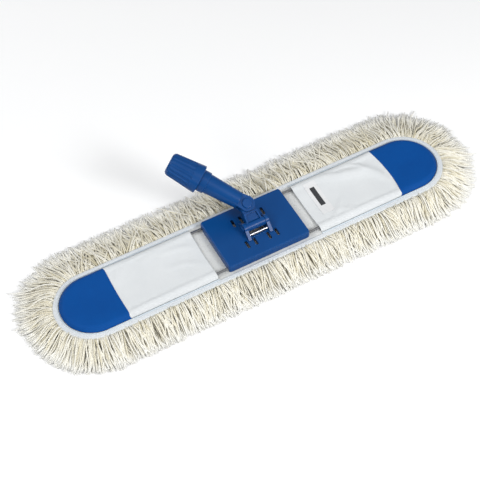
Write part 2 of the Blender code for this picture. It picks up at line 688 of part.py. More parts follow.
def swing_hardware(axis):
    """Pin with a broad front disc, and the cap behind. The pin's Z points to the front."""
    turn = Matrix.Rotation(math.pi / 2, 4, "X")
    seat = EAR_OUTER + GAP
    radius, head, thick = SWING_PIN_RADIUS, SWING_HEAD_RADIUS, SWING_HEAD_THICK
    profile = [
        (0, -seat - HEAD_THICK - 2 * GAP),
        (radius, -seat - HEAD_THICK - 2 * GAP),
        (radius, seat),
        (head, seat),
        (head, seat + 0.6 * thick),
        (head - 0.9 * MM, seat + thick),
        (0, seat + thick + GAP),
    ]
    add_piece("swing_pin", turned(profile, 28, matrix=turn), "blue_plastic", axis, False)
    cap = ring(radius + RUN, head - 1.0 * MM, -seat - HEAD_THICK, -seat, turn, 24)
    add_piece("swing_pin_cap", cap, "blue_plastic", axis, False)


def nut_radius(z):
    """Outer radius of the lock nut along its axis."""
    share = (z - NUT_FOOT) / NUT_LENGTH
    return NUT_WIDE_RADIUS + (NUT_MOUTH_RADIUS - NUT_WIDE_RADIUS) * share


def nut_bore_radius(z):
    """Radius of the cone that squeezes the collet, along the nut's axis."""
    thin_end = POLE_RADIUS + COLLET_WALL + COLLET_ROOM
    slope = (THREAD_RADIUS - thin_end) / (COLLET_TOP - SPIGOT_TOP)
    return thin_end + slope * (COLLET_TOP - z)


def lock_nut(axis):
    """Ribbed nut that narrows to the pole's mouth."""
    band_top = NUT_FOOT + NUT_BAND
    edge = 1.0 * MM
    stations = (
        (NUT_FOOT, -edge, 0.0),
        (NUT_FOOT + edge, 0.0, 0.0),
        (band_top, 0.0, 0.0),
        (band_top + edge, 0.0, RIB_DEPTH),
        (NUT_TOP - NUT_NOSE, 0.0, RIB_DEPTH),
        (NUT_TOP - 0.4 * NUT_NOSE, -0.25 * NUT_NOSE, 0.6 * RIB_DEPTH),
        (NUT_TOP, -0.7 * NUT_NOSE, 0.2 * RIB_DEPTH),
    )
    count = 4 * NUT_RIBS
    rings = []
    for z, inset, depth in stations:
        points = []
        for i in range(count):
            low_side = depth if i % 4 in (0, 1) else 0.0
            radius = nut_radius(z) + inset - low_side
            turn = 2 * math.pi * i / count
            points.append((radius * math.cos(turn), radius * math.sin(turn), z))
        rings.append(points)
    nut = add_piece("lock_nut", stacked(rings), "blue_plastic", axis, False)
    wide = THREAD_RADIUS + 2 * GAP
    bore = [
        (0, NUT_FOOT - edge),
        (wide, NUT_FOOT - edge),
        (wide, SPIGOT_TOP),
        (nut_bore_radius(SPIGOT_TOP), SPIGOT_TOP + edge),
        (nut_bore_radius(COLLET_TOP), COLLET_TOP),
        (POLE_RADIUS + COLLET_ROOM, COLLET_TOP + GAP),
        (POLE_RADIUS + COLLET_ROOM, NUT_TOP - edge),
        (POLE_RADIUS + COLLET_ROOM + edge, NUT_TOP + edge),
        (0, NUT_TOP + edge),
    ]
    change_with(nut, turned(bore), "DIFFERENCE", axis, False)


def collet_sleeve(axis):
    """Split sleeve that grips the pole when the nut is turned."""
    profile = [
        (POLE_RADIUS, COLLET_FOOT),
        (nut_bore_radius(COLLET_FOOT) - COLLET_ROOM, COLLET_FOOT),
        (nut_bore_radius(COLLET_TOP) - COLLET_ROOM, COLLET_TOP - GAP),
        (POLE_RADIUS, COLLET_TOP - GAP),
    ]
    angle = 2 * math.pi - COLLET_SLIT
    add_piece("collet_sleeve", turned(profile, ROUND_STEPS, angle), "blue_plastic", axis, False)


# ---------------------------------------------------------------- assembly

def build():
    for obj in list(bpy.data.objects):
        bpy.data.objects.remove(obj)

    centre_plate()
    tilt_hardware()
    centre_cloth()
    for prefix, side in (("left", -1), ("right", 1)):
        fold_axis = add_axis(f"{prefix}_fold_axis", Matrix.Translation((side * FOLD_X, 0, WIRE_Z)))
        wire_loop(prefix, side, fold_axis)
        wing_cloth(prefix, side, fold_axis)
        wing_pocket(prefix, side, fold_axis)
        if side > 0:
            sewn_label(fold_axis)

    lean = Matrix.Translation((0, TILT_Y, TILT_Z)) @ Matrix.Rotation(-TILT_LEAN, 4, "X")
    tilt_axis = add_axis("tilt_axis", lean)
    yoke(tilt_axis)
    swing = Matrix.Translation((0, 0, PIVOT_REACH)) @ Matrix.Rotation(-SWING_TURN, 4, "Y")
    swing_axis = add_axis("swing_axis", swing, tilt_axis)
    handle_socket(swing_axis)
    swing_hardware(swing_axis)
    pole_axis = add_axis("pole_axis", Matrix.Identity(4), swing_axis)
    lock_nut(pole_axis)
    collet_sleeve(pole_axis)


build()
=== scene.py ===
import itertools
import json
import math

import bpy
import numpy as np
from mathutils import Matrix, Vector
from mathutils.bvhtree import BVHTree

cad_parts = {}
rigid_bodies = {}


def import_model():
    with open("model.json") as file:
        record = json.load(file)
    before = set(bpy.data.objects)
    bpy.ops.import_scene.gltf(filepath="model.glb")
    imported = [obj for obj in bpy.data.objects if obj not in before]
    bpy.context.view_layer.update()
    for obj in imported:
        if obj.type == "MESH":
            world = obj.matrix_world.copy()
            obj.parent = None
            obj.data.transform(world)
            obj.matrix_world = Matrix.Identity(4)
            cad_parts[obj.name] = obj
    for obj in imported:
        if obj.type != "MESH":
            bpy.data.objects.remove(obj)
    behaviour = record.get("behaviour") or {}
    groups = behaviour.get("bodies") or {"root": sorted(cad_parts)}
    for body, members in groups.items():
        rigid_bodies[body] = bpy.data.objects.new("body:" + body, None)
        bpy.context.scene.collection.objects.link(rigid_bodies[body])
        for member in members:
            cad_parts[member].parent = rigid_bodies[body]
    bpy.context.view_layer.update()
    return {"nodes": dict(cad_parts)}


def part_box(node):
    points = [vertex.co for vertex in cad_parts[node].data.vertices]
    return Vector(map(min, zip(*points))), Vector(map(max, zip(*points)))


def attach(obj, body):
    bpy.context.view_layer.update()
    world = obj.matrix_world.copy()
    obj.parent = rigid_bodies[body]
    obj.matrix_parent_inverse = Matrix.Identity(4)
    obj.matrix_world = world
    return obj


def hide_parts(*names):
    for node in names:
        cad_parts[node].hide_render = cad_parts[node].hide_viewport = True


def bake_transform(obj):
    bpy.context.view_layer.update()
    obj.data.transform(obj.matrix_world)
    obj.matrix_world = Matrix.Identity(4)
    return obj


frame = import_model()
nodes = frame["nodes"]
mm = 0.001
sides = {"left": -1, "right": 1}


# ---- shader helpers

class Value:
    # one shader value: arithmetic on it adds Math nodes
    def __init__(self, look, socket):
        self.look = look
        self.socket = socket

    def math(self, operation, other=0.0, turned=False):
        pair = (other, self) if turned else (self, other)
        return self.look.value("ShaderNodeMath", {"operation": operation}, {0: pair[0], 1: pair[1]})

    def __add__(self, other):
        return self.math("ADD", other)

    def __sub__(self, other):
        return self.math("SUBTRACT", other)

    def __rsub__(self, other):
        return self.math("SUBTRACT", other, True)

    def __mul__(self, other):
        return self.math("MULTIPLY", other)

    def __truediv__(self, other):
        return self.math("DIVIDE", other)

    __radd__ = __add__
    __rmul__ = __mul__

    def sine(self):
        return self.math("SINE")

    def least(self, other):
        return self.math("MINIMUM", other)

    def most(self, other):
        return self.math("MAXIMUM", other)


class Look:
    # one material with a Principled shader
    def __init__(self, name, **fixed):
        self.material = bpy.data.materials.new(name)
        self.material.use_nodes = True
        self.tree = self.material.node_tree
        self.tree.nodes.clear()
        self.shader = self.node("ShaderNodeBsdfPrincipled", {}, fixed)
        self.node("ShaderNodeOutputMaterial", {}, {"Surface": self.shader.outputs["BSDF"]})

    def node(self, kind, settings=None, inputs=None):
        made = self.tree.nodes.new(kind)
        for key, setting in (settings or {}).items():
            if key == "stops":
                ramp = made.color_ramp
                while len(ramp.elements) < len(setting):
                    ramp.elements.new(0.5)
                for element, (place, colour) in zip(ramp.elements, setting):
                    element.position = place
                    element.color = colour
            else:
                setattr(made, key, setting)
        for key, given in (inputs or {}).items():
            given = given.socket if isinstance(given, Value) else given
            if isinstance(given, bpy.types.NodeSocket):
                self.tree.links.new(given, made.inputs[key])
            else:
                made.inputs[key].default_value = given
        return made

    def value(self, kind, settings=None, inputs=None, output=0):
        return Value(self, self.node(kind, settings, inputs).outputs[output])

    def place(self, scale=(1, 1, 1)):
        # object coordinates in metres, stretched by scale
        coordinates = self.node("ShaderNodeTexCoord").outputs["Object"]
        return self.value("ShaderNodeMapping", {}, {"Vector": coordinates, "Scale": scale})

    def noise(self, scale, detail=3.0, roughness=0.5, stretch=(1, 1, 1)):
        made = {"Vector": self.place(stretch), "Scale": scale, "Detail": detail, "Roughness": roughness}
        return self.value("ShaderNodeTexNoise", {}, made)

    def split(self, vector):
        made = self.node("ShaderNodeSeparateXYZ", {}, {"Vector": vector})
        return [Value(self, socket) for socket in made.outputs]

    def blendColour(self, share, first, second):
        made = self.node("ShaderNodeMix", {"data_type": "RGBA"}, {"Factor": share})
        for socket, given in ((made.inputs[6], first), (made.inputs[7], second)):
            if isinstance(given, Value):
                self.tree.links.new(given.socket, socket)
            else:
                socket.default_value = given
        return Value(self, made.outputs[2])

    def bump(self, height, strength, distance):
        made = {"Height": height, "Strength": strength, "Distance": distance}
        return self.value("ShaderNodeBump", {}, made)

    def set(self, **inputs):
        names = {"colour": "Base Color", "rough": "Roughness", "normal": "Normal"}
        for key, given in inputs.items():
            self.tree.links.new(given.socket, self.shader.inputs[names[key]])
        return self.material


def colour(red, green, blue):
    return (red, green, blue, 1.0)


# ---- materials

plastic = {"deep": colour(0.0015, 0.046, 0.185), "light": colour(0.0025, 0.062, 0.235),
           "grain": 900.0, "rough": 0.24}


def bluePlastic():
    look = Look("blue_plastic", **{"IOR": 1.46, "Specular IOR Level": 0.24})
    cloud = look.noise(26.0, 2.0)
    grain = look.noise(plastic["grain"], 2.0)
    smear = look.noise(70.0, 4.0, stretch=(1.0, 1.0, 0.3))
    return look.set(colour=look.blendColour(cloud, plastic["deep"], plastic["light"]),
                    rough=plastic["rough"] + 0.10 * smear + 0.04 * grain,
                    normal=look.bump(grain + 0.6 * smear, 0.12, 0.0003))


def steel(name, tone, rough, scratchScale):
    look = Look(name, **{"IOR": 2.0, "Metallic": 1.0})
    streaks = look.noise(scratchScale, stretch=(0.06, 1.0, 1.0))
    cloud = look.noise(60.0, 2.0)
    shade = look.blendColour(cloud, colour(*[0.82 * c for c in tone]), colour(*tone))
    return look.set(colour=shade, rough=rough + 0.10 * streaks, normal=look.bump(streaks, 0.03, 0.0001))


def wovenLook(name, light, shade, thread, slub=0.25, rough=0.86, sheen=0.15, gloss=0.4, speck=None):
    # plain weave: two crossed sets of threads, each over and under the other
    look = Look(name, **{"Sheen Weight": sheen, "Sheen Roughness": 0.5, "Specular IOR Level": gloss})
    turns = 2 * math.pi / thread / 2
    x, y, _ = look.split(look.place())
    warp = (x * turns).sine()
    weft = (y * turns).sine()
    over = warp * weft
    weave = (warp * warp) * (0.5 + 0.5 * over) + (weft * weft) * (0.5 - 0.5 * over)
    cloud = look.noise(18.0, 5.0, 0.6)
    threads = look.noise(900.0, 2.0, stretch=(0.08, 1.0, 1.0))
    threadsAcross = look.noise(900.0, 2.0, stretch=(1.0, 0.08, 1.0))
    tone = (cloud - 0.5) * 1.6 + 0.5 + slub * (threads + threadsAcross - 1.0) + 0.12 * (weave - 0.5)
    base = look.blendColour(tone.most(0.0).least(1.0), colour(*shade), colour(*light))
    if speck:
        spots = look.noise(420.0, 4.0, 0.7, stretch=(1.0, 1.0, 0.5))
        base = look.blendColour(((spots - 0.57) * 6.0).most(0.0).least(0.5), base, colour(*speck))
    height = weave + 0.5 * threads + 0.5 * threadsAcross
    return look.set(colour=base, rough=rough - 0.08 * weave, normal=look.bump(height, 0.35, 0.0003))


# ochre darkens the roots and paints shade on deep yarn and in ply grooves; tip paints a highlight on the
# strand ends
yarn = {"light": colour(0.94, 0.925, 0.86), "warm": colour(0.83, 0.775, 0.60),
        "ochre": colour(0.42, 0.36, 0.19), "tip": colour(0.94, 0.94, 0.92), "ply": 3.4 * mm}


def yarnLook(name):
    # attribute "yarn": red is the strand's own tint, green runs 0 at its root to 1 at its tip,
    # blue is how far it lies below the top of the fringe, which paints shade on deeper yarn
    look = Look(name, **{"Sheen Weight": 0.35, "Sheen Roughness": 0.6, "IOR": 1.35})
    strand = look.node("ShaderNodeAttribute", {"attribute_name": "yarn"})
    tint, along, below = look.split(strand.outputs["Color"])
    uv = look.node("ShaderNodeUVMap", {"uv_map": "strand"}).outputs["UV"]
    around, length, _ = look.split(uv)
    twist = ((length / yarn["ply"] + around * 2.0) * (2 * math.pi)).sine()
    fibres = look.noise(1500.0, 3.0, 0.7)
    fuzz = look.noise(160.0, 3.0, 0.6)
    warmth = (tint * 1.1 + (fuzz - 0.5) * 0.7).most(0.0).least(1.0)
    warm = look.blendColour(warmth, yarn["light"], yarn["warm"])
    # darker ochre towards the root, more on strands with a higher tint, plus painted shade that grows with the
    # depth value
    root = ((1.0 - along * 2.0).most(0.0) * (0.10 + 0.6 * (tint * tint)) + below * 0.45).least(0.8)
    rootDarkAndPaintedShade = look.blendColour(root, warm, yarn["ochre"])
    # strand ends painted lighter and whiter: a painted highlight where the fringe fades into the bright floor
    tipPaintedHighlight = look.blendColour(((along - 0.62) * 2.2).most(0.0).least(0.8), rootDarkAndPaintedShade, yarn["tip"])
    # painted shade in the grooves between the plies of the twist
    plyGroovePaintedShade = look.blendColour((0.5 - 0.5 * twist) * 0.12, tipPaintedHighlight, yarn["ochre"])
    return look.set(colour=plyGroovePaintedShade, rough=0.92 - 0.1 * fibres,
                    normal=look.bump(twist + 0.8 * fibres, 0.40, 0.0004))


looks = {
    "plastic": bluePlastic(),
    "chrome": steel("chrome_wire", (0.36, 0.36, 0.37), 0.04, 240.0),
    "steel": steel("steel_bar", (0.40, 0.40, 0.42), 0.20, 700.0),
    "canvas": wovenLook("white_canvas", (0.715, 0.735, 0.745), (0.655, 0.68, 0.695), 0.75 * mm),
    "backing": wovenLook("backing_cloth", (0.72, 0.73, 0.72), (0.58, 0.59, 0.58), 1.1 * mm, 0.5, 0.92, 0.25,
                         speck=(0.38, 0.37, 0.34)),
    "blue": wovenLook("blue_canvas", (0.0004, 0.074, 0.315), (0.0002, 0.058, 0.262), 0.6 * mm,
                      0.15, 0.66, 0.0, 0.12),
    "tape": wovenLook("binding_tape", (0.70, 0.725, 0.745), (0.60, 0.64, 0.675), 0.5 * mm, 0.15),
    "cord": wovenLook("piping_cord", (0.63, 0.69, 0.735), (0.50, 0.575, 0.64), 0.4 * mm, 0.15),
    "label": wovenLook("label_cloth", (0.78, 0.785, 0.79), (0.72, 0.725, 0.735), 0.35 * mm, 0.08, 0.6),
    "labelStripe": wovenLook("label_stripe", (0.035, 0.037, 0.042), (0.020, 0.021, 0.025), 0.35 * mm,
                             0.08, 0.6),
    "thread": wovenLook("sewing_thread", (0.86, 0.88, 0.90), (0.74, 0.77, 0.80), 0.3 * mm, 0.1),
    "yarn": yarnLook("cotton_yarn"),
}
print("materials:", len(looks))


# ---- modelling helpers

def deselectAll():
    if bpy.context.object and bpy.context.object.mode != "OBJECT":
        bpy.ops.object.mode_set(mode="OBJECT")
    bpy.ops.object.select_all(action="DESELECT")


def only(piece):
    # piece becomes the one selected and active object
    deselectAll()
    piece.select_set(True)
    bpy.context.view_layer.objects.active = piece
    return piece


def named(name, *materials):
    piece = bpy.context.object
    piece.name = name
    piece.data.name = name
    piece.data.materials.clear()
    for material in materials:
        piece.data.materials.append(material)
    return piece


def start(add, **settings):
    # adds the primitive and returns it
    deselectAll()
    add(**settings)
    return bpy.context.object


def meshPiece(name, vertices, faces, *materials):
    mesh = bpy.data.meshes.new(name)
    mesh.from_pydata(vertices, [], faces)
    piece = bpy.data.objects.new(name, mesh)
    bpy.context.scene.collection.objects.link(piece)
    only(piece)
    return named(name, *materials)


def edited(piece, *steps):
    # runs each (operator, settings) on the whole of the piece's mesh
    only(piece)
    bpy.ops.object.mode_set(mode="EDIT")
    bpy.ops.mesh.select_all(action="SELECT")
    for operator, settings in steps:
        operator(**settings)
    bpy.ops.object.mode_set(mode="OBJECT")


def settle(piece):
    # the piece's place goes into its mesh
    only(piece)
    bpy.ops.object.transform_apply(location=True, rotation=True, scale=True)


def applied(piece, kind, **settings):
    only(piece)
    modifier = piece.modifiers.new(kind.title(), kind)
    for key, setting in settings.items():
        setattr(modifier, key, setting)
    bpy.ops.object.modifier_apply(modifier=modifier.name)


def joined(name, first, second):
    only(first)
    second.select_set(True)
    bpy.ops.object.join()
    first.name = name
    return first


def smooth(piece, degrees):
    only(piece)
    bpy.ops.object.shade_smooth_by_angle(angle=math.radians(degrees))
    return piece


# the CAD's edge and corner, and how many times larger the edge becomes
plateEdge = {"drawn": 0.8 * mm, "corner": 4 * mm, "times": 2.2}


def roundTopEdge(piece):
    # a rounder edge round the top of the plate than the CAD draws
    halfLength, halfWidth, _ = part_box("centre_plate")[1]
    top = max(v.co.z for v in piece.data.vertices if abs(v.co.x) > 0.9 * halfLength)
    corner, times = plateEdge["corner"], plateEdge["times"]
    band = 1.02 * plateEdge["drawn"]
    for vertex in piece.data.vertices:
        x, y, z = vertex.co
        heart = Vector((math.copysign(min(abs(x), halfLength - corner), x),
                        math.copysign(min(abs(y), halfWidth - corner), y)))
        away = Vector((x, y)) - heart
        inset = corner - away.length
        if z > top - band and inset < band:
            moved = heart + away.normalized() * (corner - times * max(inset, 0.0))
            vertex.co = (moved.x, moved.y, top - times * (top - z))


def standsFor(piece, node, body):
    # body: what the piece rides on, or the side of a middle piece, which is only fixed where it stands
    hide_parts(node)
    if body in sides:
        body + "_wing"
        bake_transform(piece)
    else:
        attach(piece, body)


finish = {"weld": 1e-5, "flat": math.radians(0.6), "weight": 80}


def finerCopy(node, material, slot, bevel=0.0, degrees=32, segments=2):
    # the CAD piece with its edges rounded off
    only(nodes[node])
    bpy.ops.object.duplicate()
    piece = named(node + "_finished", material)
    for key in list(piece.keys()):
        del piece[key]
    body = piece.parent.name.split(":")[1]
    piece.parent = None
    edited(piece, (bpy.ops.mesh.remove_doubles, {"threshold": finish["weld"]}),
           (bpy.ops.mesh.dissolve_limited, {"angle_limit": finish["flat"]}))
    if node == "centre_plate":
        roundTopEdge(piece)
    if bevel:
        applied(piece, "BEVEL", width=bevel, segments=segments, limit_method="ANGLE",
                angle_limit=math.radians(degrees), harden_normals=False)
    smooth(piece, degrees)
    applied(piece, "WEIGHTED_NORMAL", keep_sharp=True, weight=finish["weight"])
    standsFor(piece, node, body)


# ---- hard pieces

# width of each rounded edge, and the least angle that is rounded
plasticPieces = {
    "centre_plate": (0.5 * mm, 18),
    "yoke": (0.4 * mm,),
    "handle_socket": (0.35 * mm,),
    "lock_nut": (0.35 * mm,),
    "collet_sleeve": (0.15 * mm,),
    "swing_pin": (0.4 * mm,),
    "swing_pin_cap": (0.3 * mm,),
    "tilt_pin": (0.3 * mm,),
    "tilt_pin_cap": (0.2 * mm,),
}
for node, settings in plasticPieces.items():
    finerCopy(node, looks["plastic"], "blue_plastic", *settings)
finerCopy("cross_bar", looks["steel"], "steel_bar", 0.2 * mm)
for sideName in sides:
    finerCopy(sideName + "_wire_loop", looks["chrome"], "chrome_wire")
print("hard pieces:", len(plasticPieces) + 3)


# ---- outline of the head, read from the frame

def reachOf(node, axis, end):
    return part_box(node)[end][axis]


head = {
    "centre": reachOf("right_backing", 0, 0),  # where the wings' cloth starts
    "backingHalf": reachOf("right_backing", 1, 1),
    "backingTop": reachOf("right_backing", 2, 1),
    "footHalf": reachOf("right_pocket", 1, 1),
    "footZ": reachOf("right_pocket", 2, 0),
    "roofZ": reachOf("right_pocket", 2, 1),
    "mouth": reachOf("right_pocket", 0, 0),
    "seam": reachOf("right_pocket", 0, 1),
    "tip": reachOf("right_fringe_end", 0, 1),
    "fringeHalf": reachOf("right_fringe_end", 1, 1),
}
head["arcX"] = head["tip"] - head["fringeHalf"]  # middle of every round end
print("head outline:", {key: round(size, 4) for key, size in head.items()})


def clothGrid(name, columns, rows, place, *materials):
    # a grid whose vertices are moved to place(across, along), both running 0 to 1
    piece = start(bpy.ops.mesh.primitive_grid_add, x_subdivisions=columns, y_subdivisions=rows, size=1.0)
    named(name, *materials)
    for vertex in piece.data.vertices:
        vertex.co = place(min(max(vertex.co.x + 0.5, 0), 1), min(max(vertex.co.y + 0.5, 0), 1))
    return piece


def thickened(piece, thickness, offset=-1, rounds=0, degrees=60):
    # an open sheet faced upwards and given its thickness, with rounds of finer faces
    if sum(face.normal.z * face.area for face in piece.data.polygons) < 0:
        edited(piece, (bpy.ops.mesh.flip_normals, {}))
    applied(piece, "SOLIDIFY", thickness=thickness, offset=offset)
    if rounds:
        applied(piece, "SUBSURF", levels=rounds, render_levels=rounds)
    return smooth(piece, degrees)


def roundEnd(half, v):
    # (x, y) on the head's round end at that half width; v runs 0 to 1 from the front to the rear
    angle = (v - 0.5) * math.pi
    return head["arcX"] + half * math.cos(angle), half * math.sin(angle)


def edgeLine(half, startX, side, step):
    # points along the head's outline at that half width: (x, y, outward x, outward y)
    straight = head["arcX"] - startX
    count = max(2, round(straight / step))
    points = [(startX + straight * i / count, -half, 0, -1) for i in range(count)]
    turns = max(3, round(math.pi * half / step))
    for i in range(turns + 1):
        angle = -math.pi / 2 + math.pi * i / turns
        points.append((head["arcX"] + half * math.cos(angle), half * math.sin(angle),
                       math.cos(angle), math.sin(angle)))
    points += [(head["arcX"] - straight * i / count, half, 0, 1) for i in range(1, count + 1)]
    return [(side * x, y, side * nx, ny) for x, y, nx, ny in points]


def sweepStrip(name, points, section, *materials):
    # section is a closed ring of (outward, up) points, carried along the edge line
    ring = len(section)
    vertices = [(x + nx * out, y + ny * out, up) for x, y, nx, ny in points for out, up in section]
    faces = []
    for i in range(len(points) - 1):
        for j in range(ring):
            a, b = i * ring + j, i * ring + (j + 1) % ring
            faces.append((a, b, b + ring, a + ring))
    faces.append(tuple(range(ring)))
    faces.append(tuple(reversed(range((len(points) - 1) * ring, len(points) * ring))))
    piece = meshPiece(name, vertices, faces, *materials)
    edited(piece, (bpy.ops.mesh.normals_make_consistent, {"inside": False}))
    return smooth(piece, 60)


stitch = {"length": 3.2 * mm, "pitch": 4.6 * mm, "radius": 0.33 * mm, "sides": 6, "dip": 1.4}


def dividedBar(axis, cuts, loose, **settings):
    # vertices and faces of a closed bar along that axis, cut across; loose bars have no face selected
    piece = start(bpy.ops.mesh.primitive_cylinder_add, end_fill_type="NGON", **settings)
    settle(piece)
    for edge in piece.data.edges:
        first, last = [piece.data.vertices[i].co[axis] for i in edge.vertices]
        edge.select = abs(first - last) > settings["depth"] / 2
    if loose:
        piece.data.polygons.foreach_set("select", [False] * len(piece.data.polygons))
    bpy.ops.object.mode_set(mode="EDIT")
    bpy.ops.mesh.select_mode(type="EDGE")
    bpy.ops.mesh.subdivide(number_cuts=cuts)
    bpy.ops.object.mode_set(mode="OBJECT")
    vertices = [v.co.copy() for v in piece.data.vertices]
    faces = [list(face.vertices) for face in piece.data.polygons]
    bpy.data.objects.remove(piece)
    return vertices, faces


# one stitch of thread: a small bent bar whose ends dip into the cloth
stitchVertices, stitchFaces = dividedBar(0, 2, False, vertices=stitch["sides"], radius=stitch["radius"],
                                         depth=stitch["length"], rotation=(0, math.pi / 2, 0))
for point in stitchVertices:
    point.z -= (2 * abs(point.x) / stitch["length"]) ** 3 * stitch["dip"] * stitch["radius"]
stitchVertices = np.array(stitchVertices)


def stitchRow(name, places):
    # places: (point on the cloth, direction along the row)
    vertices, faces = [], []
    for middle, along in places:
        along = Vector(along).normalized()
        across = Vector((0, 0, 1)).cross(along).normalized()
        up = along.cross(across)
        turn = np.array([along, across, up])
        first = len(vertices)
        vertices += [tuple(v) for v in stitchVertices @ turn + np.array(middle)]
        faces += [[first + i for i in face] for face in stitchFaces]
    piece = meshPiece(name, vertices, faces, looks["thread"])
    bpy.ops.object.shade_smooth()
    return piece


def stitchesAlong(name, line, height):
    # evenly spaced stitches along a line of (x, y) points
    places = []
    travelled, due = 0.0, stitch["pitch"] / 2
    for a, b in zip(line, line[1:]):
        gap = math.dist(a, b)
        while travelled + gap >= due:
            share = (due - travelled) / gap
            x = a[0] + (b[0] - a[0]) * share
            y = a[1] + (b[1] - a[1]) * share
            places.append(((x, y, height), (b[0] - a[0], b[1] - a[1], 0)))
            due += stitch["pitch"]
        travelled += gap
    return stitchRow(name, places)


# ---- backing cloth

backing = {
    "thick": 1.2 * mm,
    "margin": 1.6 * mm,  # under the tape, past the CAD's edge
    "sunk": 0.2 * mm,
    "ripple": 0.35 * mm,
    "overlap": 0.2 * mm,  # of the centre cloths and the wings'
}


def rippleAt(x, y):
    # soft unevenness of cloth that lies on yarn
    wave = math.sin(x * 97 + 1.3 * math.sin(y * 61)) + math.sin(y * 143 + x * 41 + 0.7)
    return backing["ripple"] * wave / 2


def backingWing(sideName):
    side = sides[sideName]
    half = head["backingHalf"] + backing["margin"]

    def place(u, v):
        edge, y = roundEnd(half, v)
        x = head["centre"] + u * (edge - head["centre"])
        return (side * x, y, head["backingTop"] - backing["sunk"] + rippleAt(side * x, y))

    piece = clothGrid(sideName + "_backing_cloth", 60, 24, place, looks["backing"])
    thickened(piece, backing["thick"])
    standsFor(piece, sideName + "_backing", sideName + "_wing")


def backingCentre(sideName):
    side = sides[sideName]
    half = head["backingHalf"] + backing["margin"]

    def place(u, v):
        x = side * u * (head["centre"] + backing["overlap"])
        y = (2 * v - 1) * half
        return (x, y, head["backingTop"] - backing["sunk"] + rippleAt(x, y))

    piece = clothGrid("centre_backing_" + sideName, 16, 30, place, looks["backing"])
    thickened(piece, backing["thick"])
    standsFor(piece, "backing_centre", sideName)


for sideName in sides:
    backingWing(sideName)
    backingCentre(sideName)
print("backing: 4 cloths")


# ---- binding tape round the head

tape = {
    "inner": 5.2 * mm,  # in and out from the backing's edge
    "outer": 1.9 * mm,
    "lift": 0.9 * mm,  # above the backing
    "low": 3.0 * mm,  # below it
    "step": 4 * mm,
    "seam": 3.2 * mm,
    "seamLift": 0.25 * mm,
    "centreSteps": 12,
}
# the half-round cord sewn round the foot of a pocket: millimetres out from the foot, and up
piping = {"foot": 0.1 * mm,
          "section": [(0.2, 0.0), (0.3, 1.2), (1.0, 1.9), (1.9, 1.6), (2.5, 0.8), (2.7, 0.0)]}


def tapeSection():
    # flat on top, rolled round the backing's edge
    inner = head["backingHalf"] - tape["inner"]
    outer = head["backingHalf"] + tape["outer"]
    top = head["backingTop"] + tape["lift"]
    low = head["backingTop"] - tape["low"]
    ring = [(inner, top - 0.75 * mm), (inner + 0.3 * mm, top - 0.15 * mm), (inner + 1.2 * mm, top),
            (outer - 1.8 * mm, top + 0.1 * mm), (outer - 0.6 * mm, top - 0.3 * mm), (outer, top - 1.3 * mm),
            (outer - 0.2 * mm, low + 0.6 * mm), (outer - 1.2 * mm, low),
            (outer - 1.6 * mm, low + 0.9 * mm), (inner, top - 1.0 * mm)]
    return [(out - head["backingHalf"], up) for out, up in ring]


def tapeAlong(name, points):
    strip = sweepStrip(name, points, tapeSection(), looks["tape"])
    top = head["backingTop"] + tape["lift"]
    line = [(x - nx * tape["seam"], y - ny * tape["seam"]) for x, y, nx, ny in points]
    return joined(name, strip, stitchesAlong(name + "_stitches", line, top + tape["seamLift"]))


def pocketPiping(name, side):
    foot = head["backingTop"] + piping["foot"]
    section = [(out * mm, foot + up * mm) for out, up in piping["section"]]
    points = edgeLine(head["footHalf"], head["mouth"], side, tape["step"] / 2)
    return sweepStrip(name, points, section, looks["cord"])


for sideName, side in sides.items():
    wholeEdge = edgeLine(head["backingHalf"], head["centre"], side, tape["step"])
    name = sideName + "_binding_tape"
    piece = joined(name, tapeAlong(name, wholeEdge), pocketPiping("piping", side))
    standsFor(piece, sideName + "_binding", sideName + "_wing")
    for edge, sign in (("front", -1), ("rear", 1)):
        count = tape["centreSteps"]
        points = [(side * head["centre"] * i / count, sign * head["backingHalf"], 0, sign)
                  for i in range(count + 1)]
        piece = tapeAlong("centre_binding_" + edge + "_" + sideName, points)
        standsFor(piece, "binding_" + edge + "_centre", sideName)
print("binding: 6 tapes")


# ---- yarn

yarnSeeds = itertools.count(41)  # each piece of yarn takes the next
strandShape = {"sides": 5, "rings": 8, "lowest": 0.15 * mm}


# one straight strand of unit radius and length
templateCo, templateFaces = dividedBar(2, strandShape["rings"] - 2, True, vertices=strandShape["sides"],
                                       radius=1.0, depth=1.0, location=(0, 0, 0.5))
templateCo = np.array(templateCo)
ringShare = np.linspace(0, 1, strandShape["rings"])[None, :]
templateRing = np.rint(templateCo[:, 2] * (strandShape["rings"] - 1)).astype(int)
templateTurn = np.mod(np.arctan2(templateCo[:, 1], templateCo[:, 0]) / (2 * np.pi), 1.0)


def templateUvs():
    # around and along, with the last face of each ring running on to 1
    uvs = []
    for face in templateFaces:
        turns = [templateTurn[i] for i in face]
        wraps = len(face) == 4 and max(turns) - min(turns) > 0.5
        for i, turn in zip(face, turns):
            around = turn + 1.0 if wraps and turn < 0.5 else turn
            uvs.append((around, templateRing[i] / (strandShape["rings"] - 1)))
    return np.array(uvs)


templateUv = templateUvs()


